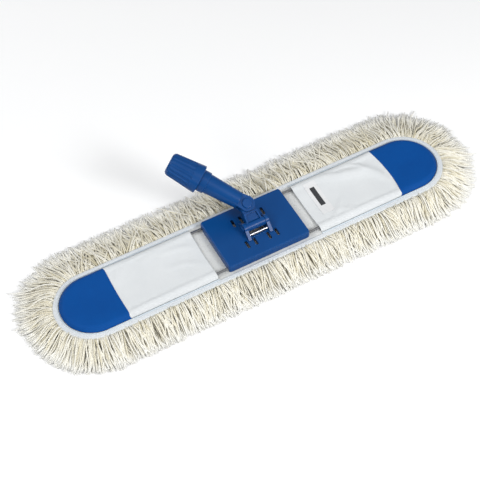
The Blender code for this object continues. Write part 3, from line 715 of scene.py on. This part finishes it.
def strandsToPiece(name, lines, radii, tint, below):
    # lines: (strands, rings, 3) centre lines; radii: (strands, rings)
    count, rings, _ = lines.shape
    tangent = np.gradient(lines, axis=1)
    tangent /= np.linalg.norm(tangent, axis=2, keepdims=True)
    sideways = np.cross(tangent, [0.0, 0.0, 1.0])
    sideways /= np.maximum(np.linalg.norm(sideways, axis=2, keepdims=True), 1e-9)
    upward = np.cross(sideways, tangent)
    ring = templateRing
    across = templateCo[:, 0][None, :, None] * sideways[:, ring]
    raised = templateCo[:, 1][None, :, None] * upward[:, ring]
    vertices = lines[:, ring] + radii[:, ring][..., None] * (across + raised)
    vertices[..., 2] = np.maximum(vertices[..., 2], strandShape["lowest"])
    perStrand = len(templateCo)
    firsts = range(0, count * perStrand, perStrand)
    faces = [[v + first for v in face] for first in firsts for face in templateFaces]
    piece = meshPiece(name, vertices.reshape(-1, 3).tolist(), faces, looks["yarn"])
    lengths = np.linalg.norm(np.diff(lines, axis=1), axis=2).sum(1)
    uv = np.tile(templateUv, (count, 1))
    uv[:, 1] *= np.repeat(lengths, len(templateUv))
    piece.data.uv_layers.new(name="strand").data.foreach_set("uv", uv.astype(np.float32).ravel())
    shade = np.ones((count, perStrand, 4), np.float32)
    shade[..., 0] = tint[:, None]
    shade[..., 1] = (ring / (rings - 1))[None, :]
    # blue: depth in the fringe, read as painted shade
    shade[..., 2] = below[:, None]
    piece.data.attributes.new("yarn", "FLOAT_COLOR", "POINT").data.foreach_set("color", shade.ravel())
    bpy.ops.object.shade_smooth()
    return piece


fringe = {
    "reach": head["fringeHalf"] - head["backingHalf"],
    # reach of each edge and of the left (-1) and right (1) tip: combed down in front, standing out behind
    "stretch": {"front": 0.86, "rear": 1.17, -1: 0.82, 1: 0.97},
    "tangle": {"front": 0.25, "end": 0.45, "rear": 0.95},
    "rootLine": 1.2 * mm,  # out from the backing's edge
    "foldGap": 4 * mm,  # how far a strand may reach over the line of a fold
    "radius": 1.02 * mm,
    "pitch": 1.75 * mm,  # between strands of one layer along a straight edge
    "endPitch": 1.15 * mm,  # the same round an end, where they fan out
    "layers": [  # root height, resting height, where it comes to rest, painted shade
        (20.6 * mm, 3.6 * mm, 0.98, 0.0),
        (18.2 * mm, 2.7 * mm, 0.90, 0.08),
        (14.0 * mm, 1.9 * mm, 0.75, 0.25),
        (8.5 * mm, 1.2 * mm, 0.55, 0.45),
    ],
}


def smoothNoise(generator, places, pitch, spread):
    # one random number per clump, held over the clump's width, and the clump's middle
    width = places.max() - places.min() + 4 * pitch
    count = int(width / pitch) + 4
    borders = np.sort(places.min() - pitch + np.cumsum(generator.uniform(0.55, 1.5, count + 8)) * pitch)
    values = generator.normal(0.0, spread, len(borders) + 1)
    clump = np.searchsorted(borders, places)
    middles = np.concatenate([[borders[0] - pitch / 2], (borders[1:] + borders[:-1]) / 2,
                              [borders[-1] + pitch / 2]])
    return values[clump], middles[clump]


def straightRoots(side, sign, half, at):
    # places in plan and outward directions of strands along a straight edge
    return np.stack([side * at, np.full(len(at), sign * half)], 1), np.tile([0.0, float(sign)], (len(at), 1))


def endRoots(side, half, angle):
    # the same round an end
    outward = np.stack([side * np.cos(angle), np.sin(angle)], 1)
    return np.array([side * head["arcX"], 0.0]) + half * outward, outward


def centreLines(roots, outward, away, lateral, z):
    # away outward from the roots, lateral along the edge and z up, each (strands, rings)
    along = np.stack([-outward[:, 1], outward[:, 0]], 1)
    plan = roots[:, None, :] + outward[:, None, :] * away[..., None] + along[:, None, :] * lateral[..., None]
    return np.concatenate([plan, z[..., None]], 2)


strandForm = {
    "clump": 13 * mm,
    "clumpLean": (0.20, 0.10),  # spread, and what full tangle adds; so are ownLean and restSpread
    "ownLean": (0.10, 0.10),
    "mostLean": 0.75,
    "gather": (0.1, 0.6),  # least and most; so are start, turns and thick
    "reach": (0.065, 0.80, 1.12),  # spread, least and most
    "start": (-3.5, 0.4),  # millimetres out from the root line
    "wave": (0.5, 1.7, 1.2),  # millimetres: least, most, and what full tangle adds to that
    "turns": (0.45, 1.25),
    "rootSpread": 0.6,
    "restSpread": (0.9, 0.8),  # millimetres, as rootSpread is
    "rise": (1.6, 1.0, 1.2),  # millimetres: mean, spread, and what full tangle adds to that
    "settleSpread": 0.10,
    "thick": (0.82, 1.18),
}


def strandLines(generator, roots, outward, places, layer, tangle, stretch):
    # roots, outward: (n, 2) in plan; places: distance along the edge; layer: a row of fringe["layers"]
    rootZ, restZ, restAt, _ = layer
    count = len(roots)
    t = ringShare
    form = strandForm
    spread = form["clumpLean"][0] + form["clumpLean"][1] * tangle
    lean, middle = smoothNoise(generator, places, form["clump"], spread)
    lean = lean + generator.normal(0, form["ownLean"][0] + form["ownLean"][1] * tangle, count)
    lean = np.clip(lean, -form["mostLean"], form["mostLean"])
    gather = (middle - places) * generator.uniform(*form["gather"], count)
    spread, least, most = form["reach"]
    reach = fringe["reach"] * stretch * np.clip(generator.normal(1.0, spread, count), least, most)
    start = generator.uniform(*form["start"], count) * mm
    d = start[:, None] + (reach - start)[:, None] * (t ** 0.93)
    least, most, added = form["wave"]
    wave = generator.uniform(least, most + added * tangle, count)[:, None] * mm
    turns = generator.uniform(*form["turns"], count)[:, None]
    phase = generator.uniform(0, 2 * np.pi, count)[:, None]
    lateral = np.tan(lean)[:, None] * d * 0.85 + gather[:, None] * t ** 1.6
    lateral = lateral + wave * (np.sin(2 * np.pi * turns * t + phase) - np.sin(phase)) * t ** 0.5
    top = rootZ + generator.normal(0, form["rootSpread"], count) * mm
    spread = form["restSpread"][0] + form["restSpread"][1] * tangle
    rest = restZ + np.abs(generator.normal(0, spread, count)) * mm
    settleAt = np.clip(restAt + generator.normal(0, form["settleSpread"], count), 0.35, 1.15)
    fall = 0.5 + 0.5 * np.cos(np.pi * np.minimum(t / settleAt[:, None], 1.0))
    mean, spread, added = form["rise"]
    rise = np.abs(generator.normal(mean, spread + added * tangle, count))[:, None] * mm
    z = rest[:, None] + (top - rest)[:, None] * fall + rise * np.sin(np.pi * np.minimum(t * 1.7, 1.0))
    z = z + 0.5 * mm * np.sin(2 * np.pi * turns * 1.7 * t + phase * 2) * t
    lines = centreLines(roots, outward, d, lateral, z)
    thick = fringe["radius"] * generator.uniform(*form["thick"], count)[:, None]
    taper = np.where(t > 0.93, 0.72, 1.0) * np.where(t < 0.02, 0.8, 1.0)
    radii = thick * taper * (1.0 + 0.06 * np.sin(2 * np.pi * 3 * t + phase))
    lines[..., 2] = np.maximum(lines[..., 2], radii * 0.9 + 0.1 * mm)
    return lines, radii


def fringePiece(name, edge, startX, endX, side):
    # edge: front, rear or end; a straight edge runs from startX to endX on that side
    generator = np.random.default_rng(next(yarnSeeds))
    allLines, allRadii, tints, belows = [], [], [], []
    tangle = fringe["tangle"][edge]
    half = head["backingHalf"] + fringe["rootLine"]
    for layer in fringe["layers"]:
        if edge == "end":
            span = math.pi * half
            count = int(span / fringe["endPitch"])
            places = (np.arange(count) + generator.uniform(-0.45, 0.45, count)) * span / count
            angle = -math.pi / 2 + places / half
            roots, outward = endRoots(side, half, angle)
            turned = np.sin(angle)
            towards = np.where(turned < 0, fringe["stretch"]["front"], fringe["stretch"]["rear"])
            atTip = fringe["stretch"][side]
            stretch = atTip + (towards - atTip) * np.abs(turned) ** np.where(turned < 0, 1.5, 0.7)
        else:
            sign = -1 if edge == "front" else 1
            span = endX - startX
            count = int(span / fringe["pitch"])
            places = (np.arange(count) + 0.5 + generator.uniform(-0.45, 0.45, count)) * span / count
            roots, outward = straightRoots(side, sign, half, startX + places)
            stretch = fringe["stretch"][edge]
        lines, radii = strandLines(generator, roots, outward, places, layer, tangle, stretch)
        if edge != "end":
            # strands beside a fold stay on their own side of it
            rootX = side * lines[:, :1, 0]
            lowest = (side * lines[:, :, 0]).min(1, keepdims=True)
            share = np.clip((rootX - startX + fringe["foldGap"]) / np.maximum(rootX - lowest, 1e-6), 0.0, 1.0)
            lines[:, :, 0] = side * (rootX + share * (side * lines[:, :, 0] - rootX))
        allLines.append(lines)
        allRadii.append(radii)
        # tint grows with tangle, most at the rear, for warmer, darker roots: painted shade on the rear side
        tints.append(np.clip(generator.beta(1.6, 3.2, count) + 0.12 * tangle, 0, 1))
        belows.append(np.full(count, layer[3]))
    return strandsToPiece(name, np.concatenate(allLines), np.concatenate(allRadii), np.concatenate(tints),
                          np.concatenate(belows))


for sideName, side in sides.items():
    for edge in ("front", "rear", "end"):
        piece = fringePiece(sideName + "_yarn_" + edge, edge, head["centre"], head["arcX"], side)
        standsFor(piece, sideName + "_fringe_" + edge, sideName + "_wing")
    for edge in ("front", "rear"):
        piece = fringePiece("centre_yarn_" + edge + "_" + sideName, edge, 0.0, head["centre"], side)
        standsFor(piece, "fringe_" + edge + "_centre", sideName)
print("fringe: 10 pieces")


# ---- yarn under the head

pile = {
    "rows": [3 * mm, 20 * mm, 37 * mm],
    "reach": 31 * mm,
    "pitch": 2.1 * mm,
    "inset": 2 * mm,
    "clump": 14 * mm,
    "lean": (0.22, 0.12),  # a clump's and a strand's own
    "sway": 1.2 * mm,
    "rootZ": 8.5 * mm,
    "lowZ": 1.15 * mm,
    "fallAt": 0.45,
    "uneven": 1.8,  # millimetres
    "bedZ": 6.0 * mm,
    "bedWave": 1.2 * mm,
    "bedMargin": 0.5 * mm,
    "bedGap": 1.6 * mm,  # between the bed and the top of the backing
    # the bed's yarn attribute: tint, along, and a painted shade of 0.5
    "bedTint": [0.6, 0.3, 0.5, 1.0],
}


def pileStrands(generator, startX, endX, side, withEnd):
    rows = []
    for row in pile["rows"]:
        for sign in (-1, 1):
            count = int((endX - startX) / pile["pitch"])
            places = (np.arange(count) + 0.5 + generator.uniform(-0.4, 0.4, count)) * (endX - startX) / count
            rows.append((*straightRoots(side, sign, row, startX + places), places))
        if withEnd:
            span = math.pi * row
            count = max(6, int(span / pile["pitch"]) + 4)
            angle = -math.pi / 2 + (np.arange(count) + 0.5) * math.pi / count
            rows.append((*endRoots(side, row, angle), angle * row))
    lines, radii = [], []
    for roots, outward, places in rows:
        count = len(roots)
        t = ringShare
        lean, _ = smoothNoise(generator, places, pile["clump"], pile["lean"][0])
        lean = lean + generator.normal(0, pile["lean"][1], count)
        reach = pile["reach"] * generator.uniform(0.8, 1.15, count)
        d = -pile["inset"] + (reach + pile["inset"])[:, None] * t
        phase = generator.uniform(0, 2 * np.pi, count)[:, None]
        lateral = np.tan(lean)[:, None] * d + pile["sway"] * np.sin(2 * np.pi * t + phase) * t
        fall = np.maximum(1 - t / pile["fallAt"], 0) ** 1.5
        z = pile["lowZ"] + (pile["rootZ"] - pile["lowZ"]) * fall
        z = z + generator.uniform(0, pile["uneven"], count)[:, None] * mm
        lines.append(centreLines(roots, outward, d, lateral, z))
        radii.append(np.tile(fringe["radius"] * generator.uniform(0.95, 1.25, count)[:, None],
                             (1, strandShape["rings"])))
    return np.concatenate(lines), np.concatenate(radii)


def yarnBed(name, startX, endX, side, withEnd):
    # the close-packed yarn between the strands and the backing, painted darker as shade
    half = head["backingHalf"] + pile["bedMargin"]

    def place(u, v):
        edge, y = roundEnd(half, v) if withEnd else (endX, (2 * v - 1) * half)
        x = startX + u * (edge - startX)
        wave = math.sin(x * 410 + 3 * math.sin(y * 170)) * math.sin(y * 530 + x * 90)
        return (side * x, y, pile["bedZ"] + pile["bedWave"] * wave)

    piece = clothGrid(name, 40, 24, place, looks["yarn"])
    thickened(piece, head["backingTop"] - pile["bedGap"] - pile["bedZ"], offset=1)
    # the bed's attribute paints it in shade
    colours = piece.data.attributes.new("yarn", "FLOAT_COLOR", "POINT")
    colours.data.foreach_set("color", pile["bedTint"] * len(piece.data.vertices))
    while piece.data.uv_layers:
        piece.data.uv_layers.remove(piece.data.uv_layers[0])
    layer = piece.data.uv_layers.new(name="strand")
    for loop, uv in zip(piece.data.loops, layer.data):
        at = piece.data.vertices[loop.vertex_index].co
        uv.uv = (at.x * 200, at.y)
    return piece


def pilePiece(name, startX, endX, side, withEnd):
    generator = np.random.default_rng(next(yarnSeeds))
    lines, radii = pileStrands(generator, startX, endX, side, withEnd)
    count = len(lines)
    # the pile strands get a painted shade of 0.1
    strands = strandsToPiece(name, lines, radii, generator.beta(1.6, 3.0, count), np.full(count, 0.1))
    return joined(name, strands, yarnBed(name + "_bed", startX, endX, side, withEnd))


for sideName, side in sides.items():
    piece = pilePiece(sideName + "_pile_yarn", head["centre"], head["arcX"], side, True)
    standsFor(piece, sideName + "_pile", sideName + "_wing")
    piece = pilePiece("centre_pile_yarn_" + sideName, 0.0, head["centre"], side, False)
    standsFor(piece, "pile_centre", sideName)
print("pile: 4 pieces")


# ---- pockets

pocket = {
    "wall": 0.9 * mm,
    "foot": 0.4 * mm,
    "rise": 5.9 * mm,  # from the foot to the roof over the wire
    "shoulder": 8.2 * mm,  # how far in from the foot the wire holds it up
    "sag": 1.5 * mm,  # between the wires
    "bulge": {"left": 1.0 * mm, "right": 6.5 * mm},
    "seamIn": 1.0 * mm,
    "hem": 10 * mm,
    "side": 6 * mm,  # turned under along the two sides
    "sewn": 1.5 * mm,  # edge strips that don't move
    "sewnSeam": 1.2 * mm,
    "grow": {"left": 0.014, "right": 0.02},
    "uneven": 0.1,  # millimetres
    "frames": 24,
    "most": 1.6 * mm,  # that the cloth may move as it settles
    "wireRadius": 2 * mm,
    "wireGap": 0.2 * mm,
    "carried": 7 * mm,  # width and fall of the cloth that a wire carries
    "carriedFall": 2.5 * mm,
    "blend": 0.4 * mm,
    "clear": 1.3 * mm,  # least height above the backing
    # lines over the cloth, as shares of the pocket's length and half width, then height and width
    "folds": {
        "left": [([(0.0, 0.88), (0.35, 0.80), (0.62, 0.62)], 1.5 * mm, 7 * mm),
                 ([(0.02, 0.30), (0.18, 0.52), (0.40, 0.60)], 1.3 * mm, 5 * mm),
                 ([(0.04, -0.35), (0.22, -0.05), (0.40, 0.02)], 1.0 * mm, 5 * mm),
                 ([(0.70, 0.90), (0.90, 0.55), (0.98, 0.05)], 1.2 * mm, 8 * mm)],
        "right": [([(0.24, 1.0), (0.50, 0.60), (0.80, 0.36), (0.99, -0.35)], 4.2 * mm, 9 * mm),
                  ([(0.62, 1.0), (0.76, 0.62), (0.80, 0.30)], 2.2 * mm, 4.5 * mm),
                  ([(0.30, -0.55), (0.45, -0.80)], 1.2 * mm, 5 * mm),
                  ([(0.15, -0.95), (0.30, -0.50), (0.42, -0.10)], 0.9 * mm, 5 * mm)],
    },
}


def seamAt(sideName, y):
    # x of the seam between the white canvas and the blue end
    return head["seam"] + pocket["bulge"][sideName] * (1 - (y / head["footHalf"]) ** 2) - pocket["seamIn"]


def roofAt(x, y):
    # height of the cloth that lies over the wire loop; x runs out from the middle
    half = head["footHalf"]
    inward = half - math.hypot(max(x - head["arcX"], 0), y)
    share = min(max(inward / pocket["shoulder"], 0.0), 1.0)
    climb = math.sin(share * math.pi / 2) ** 0.8
    deep = min(max((inward - pocket["shoulder"]) / (half - pocket["shoulder"]), 0.0), 1.0)
    sag = pocket["sag"] * math.sin(deep * math.pi / 2) ** 2
    return head["footZ"] + pocket["foot"] + pocket["rise"] * climb - sag


def foldAt(sideName, u, v):
    # height of the soft folds at a place on the pocket, (u, v) running 0 to 1
    length, half = head["seam"] - head["mouth"], head["footHalf"]
    here = Vector((u * length, (2 * v - 1) * half))
    height = 0.0
    for line, rise, width in pocket["folds"][sideName]:
        points = [Vector((a * length, b * half)) for a, b in line]
        nearest, share = 1.0, 0.0
        for number, (a, b) in enumerate(zip(points, points[1:])):
            step = min(max((here - a).dot(b - a) / (b - a).length_squared, 0.0), 1.0)
            away = (here - a.lerp(b, step)).length
            if away < nearest:
                nearest, share = away, (number + step) / (len(points) - 1)
        height += rise * math.exp(-(nearest / width) ** 2) * math.sin(math.pi * (0.10 + 0.80 * share))
    sideFade = min(1.0, 5 * (1 - abs(2 * v - 1)))
    seamFade = min(1.0, 10 * (1 - u))
    mouthFade = min(1.0, 0.3 + 6 * u)
    return height * sideFade * seamFade * mouthFade


canvasForces = {"quality": 8, "mass": 0.25, "tension_stiffness": 18, "compression_stiffness": 18,
                "shear_stiffness": 8, "bending_stiffness": 0.12, "vertex_group_mass": "sewn"}


def simulateCloth(piece, pinned, grow):
    # the canvas settles, a little too large for its sewn edges, so that it folds
    group = piece.vertex_groups.new(name="sewn")
    group.add(pinned, 1.0, "REPLACE")
    only(piece)
    cloth = piece.modifiers.new("Cloth", "CLOTH")
    for key, setting in canvasForces.items():
        setattr(cloth.settings, key, setting)
    cloth.settings.shrink_min = -grow
    cloth.settings.effector_weights.gravity = 0.08
    cloth.collision_settings.collision_quality = 3
    cloth.collision_settings.distance_min = 0.0006
    cloth.collision_settings.use_self_collision = False
    cloth.point_cache.frame_start = 1
    cloth.point_cache.frame_end = pocket["frames"]
    for step in range(1, pocket["frames"] + 1):
        bpy.context.scene.frame_set(step)
    bpy.ops.object.modifier_apply(modifier="Cloth")
    bpy.context.scene.frame_set(1)


def whitePocket(sideName):
    side = sides[sideName]
    half = head["footHalf"]

    def place(u, v):
        y = (2 * v - 1) * half
        x = head["mouth"] + u * (seamAt(sideName, y) - head["mouth"])
        return (side * x, y, roofAt(x, y))

    piece = clothGrid(sideName + "_pocket_canvas", 60, 44, place, looks["canvas"])
    rest = np.array([v.co for v in piece.data.vertices])
    pinned = [i for i, (x, y, z) in enumerate(rest)
              if abs(y) > half - pocket["sewn"] or abs(x) > seamAt(sideName, y) - pocket["sewnSeam"]]
    generator = np.random.default_rng(7 if side > 0 else 8)
    for vertex in piece.data.vertices:
        vertex.co.z += generator.normal(0, pocket["uneven"]) * mm
    simulateCloth(piece, pinned, pocket["grow"][sideName])
    # the wire carries the cloth, and the folds stand on that
    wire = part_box("right_wire_loop")[1]
    wireY = wire.y - pocket["wireRadius"]
    most, blend = pocket["most"], pocket["blend"]
    for vertex, (x, y, z) in zip(piece.data.vertices, rest):
        u = (abs(x) - head["mouth"]) / (seamAt(sideName, y) - head["mouth"])
        free = z + most * math.tanh((vertex.co.z - z) / most) + foldAt(sideName, u, 0.5 + 0.5 * y / half)
        across = (abs(y) - wireY) / pocket["carried"]
        if abs(across) < 2 and abs(y) < half - pocket["sewn"]:
            carried = wire.z + pocket["wall"] + pocket["wireGap"] - pocket["carriedFall"] * across ** 2
            free = blend * math.log(math.exp((free - carried) / blend) + 1.0) + carried
        vertex.co.z = max(free, head["backingTop"] + pocket["clear"])
    thickened(piece, pocket["wall"], rounds=1, degrees=80)
    standsFor(piece, sideName + "_pocket", sideName + "_wing")


blueCloth = {"under": 2.0 * mm, "lift": 0.75 * mm, "seamLift": 0.2 * mm}


def blueEnd(sideName):
    side = sides[sideName]
    half = head["footHalf"]

    def place(u, v):
        edge, y = roundEnd(half, v)
        inner = seamAt(sideName, y) - blueCloth["under"]
        x = inner + u * (edge - inner)
        return (side * x, y, roofAt(x, y) + blueCloth["lift" if u > 0 else "seamLift"])

    piece = clothGrid(sideName + "_pocket_end_cloth", 36, 40, place, looks["blue"])
    thickened(piece, pocket["wall"], rounds=1, degrees=80)
    standsFor(piece, sideName + "_pocket_end", sideName + "_wing")


for sideName in sides:
    whitePocket(sideName)
    blueEnd(sideName)
print("pockets: 4 cloths")


# ---- label

label = {"stripe": (7.0 * mm, 36 * mm), "stripeAt": 3.0 * mm, "thick": 0.35 * mm, "lift": 0.15 * mm,
         "castFrom": 0.1}


def sewnLabel():
    low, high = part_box("right_label")
    middle = (low + high) / 2 + Vector((0, label["stripeAt"], 0))
    canvasTop = BVHTree.FromObject(bpy.data.objects["right_pocket_canvas"],
                                   bpy.context.evaluated_depsgraph_get())

    def place(u, v):
        x = low.x + u * (high.x - low.x)
        y = low.y + v * (high.y - low.y)
        hit = canvasTop.ray_cast(Vector((x, y, label["castFrom"])), Vector((0, 0, -1)))[0]
        return (x, y, hit.z + label["lift"] + label["thick"])

    piece = clothGrid("right_pocket_label", 20, 62, place, looks["label"], looks["labelStripe"])
    for face in piece.data.polygons:
        away = face.center - middle
        inStripe = abs(away.x) < label["stripe"][0] / 2 and abs(away.y) < label["stripe"][1] / 2
        face.material_index = 1 if inStripe else 0
    thickened(piece, label["thick"])
    standsFor(piece, "right_label", "right_wing")


sewnLabel()
print("label: 1 cloth")


# ---- floor, light and camera

# the sky's strength goes from horizon to zenith between the heights low and high
studio = {"floor": 0.97, "floorCloud": 0.01, "horizon": 0.16, "zenith": 0.54, "low": 0.1, "high": 0.75,
          "sky": colour(0.975, 0.988, 1.0)}
softBoxes = {  # place, aim, size and power
    "key": ((0.56, -1.30, 1.05), (0, 0, 0), (0.65, 0.45), 18.0),
    "over": ((-0.1, -0.6, 1.9), (0, 0, 0), (1.5, 0.5), 3.5),
    "fill": ((-1.3, -0.5, 1.0), (-0.2, 0, 0), (1.2, 0.5), 5.0),
    "back": ((-1.2, 1.2, 1.6), (-0.2, 1.4, 0), (1.8, 0.5), 14.0),
}


def makeFloor():
    piece = start(bpy.ops.mesh.primitive_plane_add, size=12.0, location=(0, 0, -0.0004))
    look = Look("floor", **{"Roughness": 0.95, "Specular IOR Level": 0.1})
    cloud = look.noise(2.0)
    shades = [colour(*3 * [shade]) for shade in (studio["floor"], studio["floor"] + studio["floorCloud"])]
    named("floor", look.set(colour=look.blendColour(cloud, *shades)))
    settle(piece)


def softBox(name, place, aim, size, power):
    piece = start(bpy.ops.object.light_add, type="AREA", location=place)
    piece.name = name
    piece.data.shape = "RECTANGLE"
    piece.data.size, piece.data.size_y = size
    piece.data.energy = power
    piece.rotation_euler = (Vector(aim) - Vector(place)).to_track_quat("-Z", "Y").to_euler()


def makeLight():
    world = bpy.data.worlds.new("studio")
    bpy.context.scene.world = world
    world.use_nodes = True
    tree = world.node_tree
    height = tree.nodes.new("ShaderNodeSeparateXYZ")
    tree.links.new(tree.nodes.new("ShaderNodeTexCoord").outputs["Generated"], height.inputs[0])
    sky = tree.nodes.new("ShaderNodeMapRange")  # darker towards the horizon, as between soft boxes
    sky.inputs["From Min"].default_value = studio["low"]
    sky.inputs["From Max"].default_value = studio["high"]
    sky.inputs["To Min"].default_value = studio["horizon"]
    sky.inputs["To Max"].default_value = studio["zenith"]
    tree.links.new(height.outputs["Z"], sky.inputs["Value"])
    tree.links.new(sky.outputs[0], tree.nodes["Background"].inputs["Strength"])
    tree.nodes["Background"].inputs["Color"].default_value = studio["sky"]
    for name, settings in softBoxes.items():
        softBox(name, *settings)


view = {"azimuth": -25.8, "elevation": 52.9, "roll": -3.0, "distance": 1.772, "target": (-0.025, -0.001, 0.02),
        "lens": 91.9, "sensor": 36.0}


def makeCamera():
    azimuth, elevation, roll = (math.radians(view[key]) for key in ("azimuth", "elevation", "roll"))
    back = Vector((math.sin(azimuth) * math.cos(elevation), -math.cos(azimuth) * math.cos(elevation),
                   math.sin(elevation)))
    right = (-back).cross(Vector((0, 0, 1))).normalized()
    up = right.cross(-back)
    leanRight = right * math.cos(roll) + up * math.sin(roll)
    leanUp = up * math.cos(roll) - right * math.sin(roll)
    eye = Vector(view["target"]) + view["distance"] * back
    piece = start(bpy.ops.object.camera_add)
    piece.name = "camera"
    piece.matrix_world = Matrix.Translation(eye) @ Matrix((leanRight, leanUp, back)).transposed().to_4x4()
    piece.data.lens = view["lens"]
    piece.data.sensor_width = view["sensor"]
    piece.data.clip_start, piece.data.clip_end = 0.05, 50
    bpy.context.scene.camera = piece


makeFloor()
makeLight()
makeCamera()
bpy.context.scene.view_settings.view_transform = "Standard"
print("studio set")
